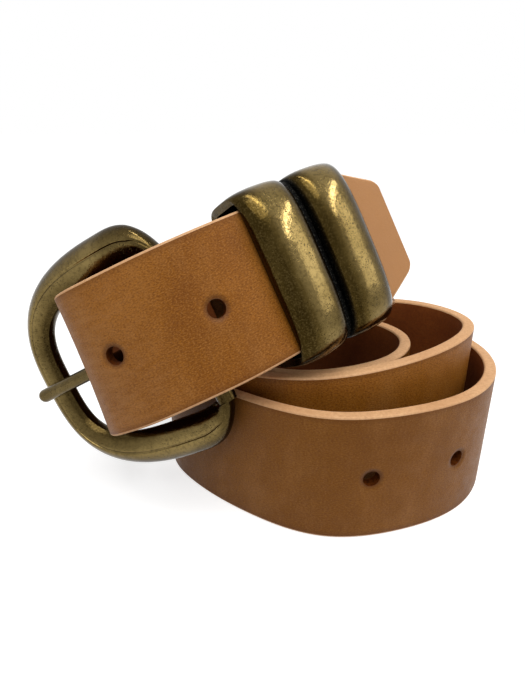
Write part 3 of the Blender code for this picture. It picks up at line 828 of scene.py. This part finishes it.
def make_keeper(brass):
    """The keeper as a closed ring of sections round the strap's two layers."""
    half = STRAP_WIDTH / 2 + KEEPER_SIDE_GAP
    top = KEEPER_FRONT_GAP
    bottom = -2 * STRAP_THICKNESS - LAYER_GAP - KEEPER_BACK_GAP
    wide = half + KEEPER_SIDE_WALL
    low, back = top + KEEPER_GROOVE_WALL, bottom - KEEPER_BACK_WALL
    end = KEEPER_LENGTH / 2 - KEEPER_LIP
    rings = []
    for angle in 2 * math.pi * (np.arange(KEEPER_SIDES) + 0.5) / KEEPER_SIDES:
        way = rounded_box(angle, half, top, bottom, WAY_POWER, WAY_POWER)
        groove = rounded_box(angle, wide, low, back, GROOVE_POWER, BACK_POWER)
        crest = rounded_box(
            angle, wide + KEEPER_RIB_SIDE, low + KEEPER_RIB_HEIGHT, back, CREST_POWER, BACK_POWER
        )
        ring = [(x, *(groove + (crest - groove) * hump), hump) for x, hump in rib_profile()]
        rings.append(ring + [(x, *way, -1.0) for x in (end, 0.0, -end)])
    rings = np.array(rings)
    mesh = loft("keeper_brass", rings[..., :3], closed=True)
    # Wear and painted shade: the rib's height, so the crests read bright and the flanks dark as a
    # painted dark reflection
    give_values(mesh, "wear_and_shade", rings[..., 3])
    give_values(mesh, "from_groove", np.abs(rings[..., 0]) * MM)
    mesh.materials.append(brass)
    piece = new_object(mesh)
    place(piece, keeper_middle, keeper_x, keeper_y, keeper_z)
    stand_for(piece, "keeper", "keeper")


# ---------------- the screw posts
def domed_head(seat, way):
    """(radius, height) pairs over a low head from its seat, with way 1 to the front."""
    rim = HEAD_RADIUS - HEAD_EDGE
    pairs = [(HEAD_RADIUS, 0.0)]
    for angle in np.radians(np.arange(0, 91, 15)):
        height = HEAD_EDGE + (HEAD_HEIGHT - HEAD_EDGE) * math.sin(angle)
        pairs.append((rim + HEAD_EDGE * math.cos(angle), height))
    for angle in np.radians((20, 40, 60, 80)):
        pairs.append((rim * math.cos(angle), HEAD_HEIGHT + HEAD_DOME * math.sin(angle)))
    return [(radius, seat + way * height) for radius, height in pairs]


def make_posts(brass):
    """Two posts with heads on the front, and a slotted screw in each from the back."""
    # Where the heads sit, in front of the fold's middle plane and behind it
    seat = STRAP_THICKNESS + GAP / 2 + GAP
    back = FOLD_THICKNESS + GAP / 2 + GAP
    shank_end = seat - POST_END - SCREW_PLAY
    slot_floor = DRIVER_DEPTH - back - HEAD_HEIGHT
    for side, label in ((1, "upper"), (-1, "lower")):
        axes = (at_heel(POST_REACH, 0) + side * POST_SPREAD * heel_v, heel_u, heel_v, heel_n)
        tube = [(POST_RADIUS, 2 * GAP - back), (POST_RADIUS, seat)]
        shank = [(SHANK_RADIUS, -back), (SHANK_RADIUS, shank_end)]
        bore = [(POST_BORE, end) for end in (-back - CUT_PAST, seat - POST_END)]
        slot = (
            (-HEAD_RADIUS - CUT_PAST, -DRIVER_WIDTH / 2, -back - CUT_PAST),
            (HEAD_RADIUS + CUT_PAST, DRIVER_WIDTH / 2, slot_floor),
        )
        for name, profile, cutter in (
            (f"post_{label}", tube + domed_head(seat, 1), turned("bore", bore, HOLE_SIDES)),
            (f"screw_{label}", domed_head(-back, -1)[::-1] + shank, box_mesh("driver", *slot)),
        ):
            piece = place(new_object(turned(f"{name}_brass", profile, POST_SIDES)), *axes)
            tool = place(new_object(cutter), *axes)
            apply_booleans(piece, [(tool, "DIFFERENCE")])
            piece.data.materials.clear()
            piece.data.materials.append(brass)
            stand_for(piece, name, "strap")


# ---------------- materials
class Nodes:
    """A material under construction, with short names for its nodes.

    Scales are per metre, and a bump's distance is in metres.
    """

    def __init__(self, name):
        self.material = bpy.data.materials.new(name)
        self.material.use_nodes = True
        self.tree = self.material.node_tree
        self.shader = self.tree.nodes["Principled BSDF"]
        self.place = self.add("ShaderNodeTexCoord").outputs["Object"]

    def add(self, kind, **inputs):
        node = self.tree.nodes.new(kind)
        for name, value in inputs.items():
            self.connect(value, node.inputs[name.replace("_", " ")])
        return node

    def connect(self, value, socket):
        if isinstance(value, bpy.types.NodeSocket):
            self.tree.links.new(value, socket)
        else:
            socket.default_value = value

    def noise(self, scale, detail=4.0, roughness=0.55, vector=None, distortion=0.0):
        node = self.add("ShaderNodeTexNoise", Scale=scale, Detail=detail, Roughness=roughness,
                        Distortion=distortion, Vector=vector or self.place)
        return node.outputs["Fac"]

    def voronoi(self, scale, vector=None):
        node = self.add("ShaderNodeTexVoronoi", Scale=scale, Vector=vector or self.place)
        return node.outputs["Distance"]

    def attribute(self, name):
        """A number that give_values kept on the mesh."""
        node = self.add("ShaderNodeAttribute")
        node.attribute_name = name
        return node.outputs["Fac"]

    def ramp(self, value, stops):
        """A colour from (position, colour) stops."""
        node = self.add("ShaderNodeValToRGB", Fac=value)
        elements = node.color_ramp.elements
        while len(elements) < len(stops):
            elements.new(0.5)
        for element, (position, colour) in zip(elements, stops):
            element.position = position
            element.color = (*colour, 1.0)
        return node.outputs["Color"]

    def mix(self, share, first, second):
        """A colour between two."""
        node = self.tree.nodes.new("ShaderNodeMix")
        node.data_type = "RGBA"
        self.connect(share, node.inputs[0])
        for index, value in ((6, first), (7, second)):
            self.connect((*value, 1.0) if isinstance(value, tuple) else value, node.inputs[index])
        return node.outputs[2]

    def math(self, kind, *values):
        node = self.tree.nodes.new("ShaderNodeMath")
        node.operation = kind
        for index, value in enumerate(values):
            self.connect(value, node.inputs[index])
        return node.outputs[0]

    def remap(self, value, low, high, to_low=0.0, to_high=1.0):
        """A value carried from one range to another, and held at its ends."""
        node = self.add("ShaderNodeMapRange", Value=value, From_Min=low, From_Max=high,
                        To_Min=to_low, To_Max=to_high)
        return node.outputs["Result"]

    def laid_flat(self, along=1.0, across=1.0):
        """The place on the strap laid flat, with each direction's scale."""
        node = self.add("ShaderNodeCombineXYZ",
                        X=self.math("MULTIPLY", self.attribute("distance"), along),
                        Y=self.math("MULTIPLY", self.attribute("across"), across))
        return node.outputs["Vector"]

    def stretch(self, rise, fall, most):
        """A share that rises and falls again along the strap, between (start, end) pairs."""
        travelled = self.attribute("distance")
        return self.math("MULTIPLY", self.remap(travelled, *rise, 0.0, most),
                         self.remap(travelled, *fall, 1.0, 0.0))

    def bump(self, height, distance, strength, normal=None):
        """A normal over a height, and over an earlier normal if there is one."""
        node = self.add("ShaderNodeBump", Height=height, Distance=distance, Strength=strength)
        if normal:
            self.connect(normal, node.inputs["Normal"])
        return node.outputs["Normal"]

    def finish(self, **inputs):
        """The material, with what its shader's sockets are set or joined to."""
        for name, value in inputs.items():
            self.connect(value, self.shader.inputs[name.replace("_", " ")])
        return self.material


def colour(red, green, blue):
    """Linear colour from an sRGB one of 0 to 255."""
    shares = [c / 255 for c in (red, green, blue)]
    return tuple(c / 12.92 if c <= 0.04045 else ((c + 0.055) / 1.055) ** 2.4 for c in shares)


def grain_leather():
    """The grain face: tan, clouded, with fine short fibres, painted sheen on the tip and along the
    bend, and painted shade on the outer turn.
    """
    look = Nodes("leather_grain")
    flat = look.laid_flat()
    cloud = look.noise(34, 5, 0.62, flat, 0.4)
    tone = look.ramp(cloud, [(0.34, colour(120, 68, 10)), (0.5, colour(138, 83, 16)),
                             (0.66, colour(154, 96, 28))])
    fibre = look.noise(2600, 4, 0.75, look.laid_flat(0.6, 1.0))
    tone = look.mix(look.remap(fibre, 0.4, 0.66, 0.0, 0.9), tone, colour(90, 45, 5))
    fleck = look.noise(3200, 2, 0.5, look.laid_flat(0.6, 1.0))
    tone = look.mix(look.remap(fleck, 0.46, 0.7, 0.0, 0.45), tone, colour(176, 120, 56))
    # Painted shade: the outer turn darker
    tone = look.mix(look.stretch(*SHADED_OUTER_TURN, 0.5), tone, colour(100, 60, 8))
    streaked = look.noise(90, 6, 0.7, look.laid_flat(1.0, 0.4))
    scuff = look.math("MULTIPLY", look.remap(streaked, 0.48, 0.68),
                      look.remap(fibre, 0.35, 0.6, 1.0, 0.3))
    tone = look.mix(look.math("MULTIPLY", scuff, 0.4), tone, colour(160, 112, 62))
    # Painted sheen: lighter streaks along the bend, where the strap turns away
    drawn = look.remap(look.noise(700, 4, 0.65, look.laid_flat(0.3, 1.0)), 0.4, 0.66, 0.14, 0.42)
    tone = look.mix(look.math("MULTIPLY", look.stretch(*SHEEN_BEND, 1.0), drawn), tone,
                    colour(172, 122, 74))
    # Painted sheen: the tip paler, as where light glances off it
    pale = look.remap(look.attribute("distance"), *SHEEN_TIP, 0.85, 0.0)
    tone = look.mix(pale, tone, colour(172, 124, 80))
    border = look.remap(look.math("ABSOLUTE", look.attribute("across")), *DARK_BORDER, 0.0, 0.55)
    tone = look.mix(border, tone, colour(88, 46, 10))
    rim = look.remap(look.attribute("from_hole"), *DARK_RIM, 0.7, 0.0)
    tone = look.mix(rim, tone, colour(66, 32, 10))
    pores = look.math("ADD", look.math("MULTIPLY", look.voronoi(2100, flat), 0.5), fibre)
    normal = look.bump(pores, 0.00014, 0.5)
    normal = look.bump(look.noise(190, 3, 0.5, flat), 0.0004, 0.2, normal)
    rough = look.remap(look.noise(260, 4, 0.6, flat), 0.3, 0.7, 0.42, 0.56)
    return look.finish(Base_Color=tone, Roughness=rough, Specular_IOR_Level=0.16, Normal=normal)


def edge_leather():
    """The cut edge: pale, with faint fibres and stains."""
    look = Nodes("leather_edge")
    fibre = look.noise(1300, 4, 0.7)
    tone = look.ramp(fibre, [(0.3, colour(190, 143, 100)), (0.55, colour(208, 162, 117)),
                             (0.8, colour(218, 176, 132))])
    stain = look.remap(look.noise(40, 4, 0.6), 0.42, 0.72, 0.0, 0.5)
    tone = look.mix(stain, tone, colour(180, 128, 84))
    normal = look.bump(fibre, 0.00012, 0.5)
    return look.finish(Base_Color=tone, Roughness=0.6, Specular_IOR_Level=0.25, Normal=normal)


def flesh_leather():
    """The strap's back: redder and darker, with a fine nap."""
    look = Nodes("leather_back")
    nap = look.noise(1400, 4, 0.7)
    cloud = look.noise(45, 5, 0.6)
    tone = look.ramp(cloud, [(0.35, colour(108, 52, 14)), (0.7, colour(132, 72, 24))])
    tone = look.mix(look.remap(nap, 0.4, 0.7, 0.0, 0.5), tone, colour(82, 36, 6))
    normal = look.bump(nap, 0.00018, 0.6)
    return look.finish(Base_Color=tone, Roughness=0.72, Specular_IOR_Level=0.2, Normal=normal)


def punched_leather():
    """The walls that are punched or cut through, dark brown as painted shade inside the holes and
    the slot.
    """
    look = Nodes("leather_punched")
    fibre = look.noise(1200, 3, 0.6)
    # Painted shade: the walls kept dark, as inside a hole
    tone = look.ramp(fibre, [(0.3, colour(56, 22, 3)), (0.7, colour(98, 48, 10))])
    normal = look.bump(fibre, 0.0001, 0.4)
    return look.finish(Base_Color=tone, Roughness=0.8, Specular_IOR_Level=0.05, Normal=normal)


def antique_brass(name, bright, dark, wear_and_shade_from=None, groove=False):
    """Brass with a brown patina, brighter on its high parts where use has polished it, darker on
    its flanks, back and window side as painted shade, with painted glints, and pitted all over.
    """
    look = Nodes(name)
    cloud = look.math("MULTIPLY", look.noise(60, 4, 0.55, distortion=0.4), 0.6)
    # Wear and painted shade: brighter on polished crests, darker on flanks and backs as painted
    # shade
    rubbed_and_shaded = look.remap(look.attribute("wear_and_shade"), *wear_and_shade_from, 0.0, 0.4) if wear_and_shade_from else 0.2
    cloud = look.math("ADD", cloud, rubbed_and_shaded)
    middle = tuple(math.sqrt(a * b) for a, b in zip(bright, dark))
    tone = look.ramp(cloud, [(0.25, dark), (0.5, middle), (0.72, bright)])
    mottle = look.noise(1100, 3, 0.7)
    tone = look.mix(look.remap(mottle, 0.48, 0.66, 0.0, 0.45), tone, dark)
    # Painted glints: fine specks mixed toward the bright tone
    glint = look.noise(2600, 2, 0.6)
    tone = look.mix(look.remap(glint, 0.5, 0.66, 0.0, 0.22), tone, bright)
    pits = look.math("MULTIPLY", look.remap(look.voronoi(1700), 0.12, 0.3, 1.0, 0.0),
                     look.remap(look.noise(150, 3), 0.38, 0.54))
    tone = look.mix(look.math("MULTIPLY", pits, 0.9), tone, colour(20, 15, 6))
    rough = look.remap(look.noise(240, 5, 0.6), 0.3, 0.7, 0.11, 0.2)
    if groove:
        black = look.remap(look.attribute("from_groove"), *BLACK_GROOVE, 1.0, 0.0)
        grit = look.remap(glint, 0.56, 0.7, 0.0, 0.6)
        tone = look.mix(black, tone, look.mix(grit, colour(14, 14, 14), colour(84, 82, 74)))
        rough = look.math("ADD", rough, look.math("MULTIPLY", black, 0.4))
    height = look.math("SUBTRACT", mottle, pits)
    normal = look.bump(height, 0.00006, 0.6)
    normal = look.bump(look.noise(260, 3, 0.5), 0.0003, 0.25, normal)
    normal = look.bump(look.noise(60, 2, 0.5), 0.0012, 0.3, normal)
    return look.finish(Base_Color=tone, Metallic=1.0, Roughness=rough, Normal=normal)


# ---------------- studio
def lamp(name, kind, place_mm, energy, run):
    """The data of a lamp that looks at the belt, with its height along a run."""
    data = bpy.data.lights.new(name, kind)
    data.energy = energy
    obj = new_object(data)
    obj.location = Vector(place_mm) * MM
    z = (obj.location - Vector(LAMP_AIM) * MM).normalized()
    y = (Vector(run) - z.dot(run) * z).normalized()
    obj.rotation_euler = Matrix((y.cross(z), y, z)).transposed().to_euler()
    return data


def make_lamps():
    """A soft sky, and panels whose streaks show on the brass."""
    lamp("sky", "SUN", SKY_PLACE, SKY_ENERGY, (0, 0, 1)).angle = SKY_ANGLE
    for name, place_mm, watts, size, run in PANELS:
        panel = lamp(name, "AREA", place_mm, watts, run)
        panel.shape = "RECTANGLE"
        panel.size, panel.size_y = size


def seen_directly(tree):
    """1 to the camera, in reflections and through glass, and 0 where light is bounced."""
    paths = tree.nodes.new("ShaderNodeLightPath")
    found = paths.outputs["Is Camera Ray"]
    for name in ("Is Glossy Ray", "Is Transmission Ray"):
        either = tree.nodes.new("ShaderNodeMath")
        either.operation = "MAXIMUM"
        tree.links.new(found, either.inputs[0])
        tree.links.new(paths.outputs[name], either.inputs[1])
        found = either.outputs[0]
    return found


def scaled(tree, value, low, high):
    """A value of 0 to 1 carried to a range."""
    node = tree.nodes.new("ShaderNodeMapRange")
    tree.links.new(value, node.inputs["Value"])
    node.inputs["To Min"].default_value = low
    node.inputs["To Max"].default_value = high
    return node.outputs["Result"]


def make_world():
    """A world that lights the belt softly and looks white itself."""
    world = bpy.data.worlds.new("studio")
    bpy.context.scene.world = world
    world.use_nodes = True
    tree = world.node_tree
    background = tree.nodes["Background"]
    background.inputs["Color"].default_value = (1, 1, 1, 1)
    strength = scaled(tree, seen_directly(tree), WORLD_LIGHT, 1.0)
    tree.links.new(strength, background.inputs["Strength"])


def make_floor():
    """A plain pale floor that keeps the belt's shadow."""
    mesh = bpy.data.meshes.new("floor")
    corners = [(-FLOOR_REACH, -FLOOR_REACH), (FLOOR_REACH, -FLOOR_REACH),
               (FLOOR_REACH, FLOOR_REACH), (-FLOOR_REACH, FLOOR_REACH)]
    mesh.from_pydata([(x, y, FLOOR_HEIGHT) for x, y in corners], [], [(0, 1, 2, 3)])
    floor = new_object(mesh)
    look = bpy.data.materials.new("floor")
    look.use_nodes = True
    tree = look.node_tree
    shader = tree.nodes["Principled BSDF"]
    shader.inputs["Base Color"].default_value = (*FLOOR_COLOUR, 1)
    shader.inputs["Roughness"].default_value = 1.0
    shader.inputs["Specular IOR Level"].default_value = 0.0
    shader.inputs["Emission Color"].default_value = (1, 1, 1, 1)
    glow = scaled(tree, seen_directly(tree), 0.0, FLOOR_GLOW)
    tree.links.new(glow, shader.inputs["Emission Strength"])
    mesh.materials.append(look)


def make_camera():
    """A level camera that looks down at the belt."""
    data = bpy.data.cameras.new("camera")
    data.lens = CAMERA_LENS
    data.sensor_width = CAMERA_SENSOR
    data.clip_start = CAMERA_NEAR
    camera = new_object(data)
    camera.location = Vector(CAMERA_PLACE) * MM - Vector((*BOX_MIDDLE, 0)) * MM
    camera.rotation_euler = (math.radians(90) - CAMERA_PITCH, 0, 0)
    bpy.context.scene.camera = camera


def build():
    make_camera()
    make_floor()
    make_world()
    make_lamps()
    bpy.context.scene.view_settings.view_transform = "Standard"

    make_strap((grain_leather(), edge_leather(), flesh_leather(), punched_leather()))
    make_frame(antique_brass("buckle_brass", colour(122, 104, 64), colour(52, 41, 19), (0.35, 1.0)))
    make_prong(antique_brass("prong_brass", colour(130, 112, 74), colour(64, 53, 30)))
    make_keeper(antique_brass(
        "keeper_brass", colour(128, 109, 67), colour(46, 35, 11), (0.76, 1.0), groove=True))
    make_posts(antique_brass("post_brass", colour(124, 104, 62), colour(74, 60, 32)))


build()
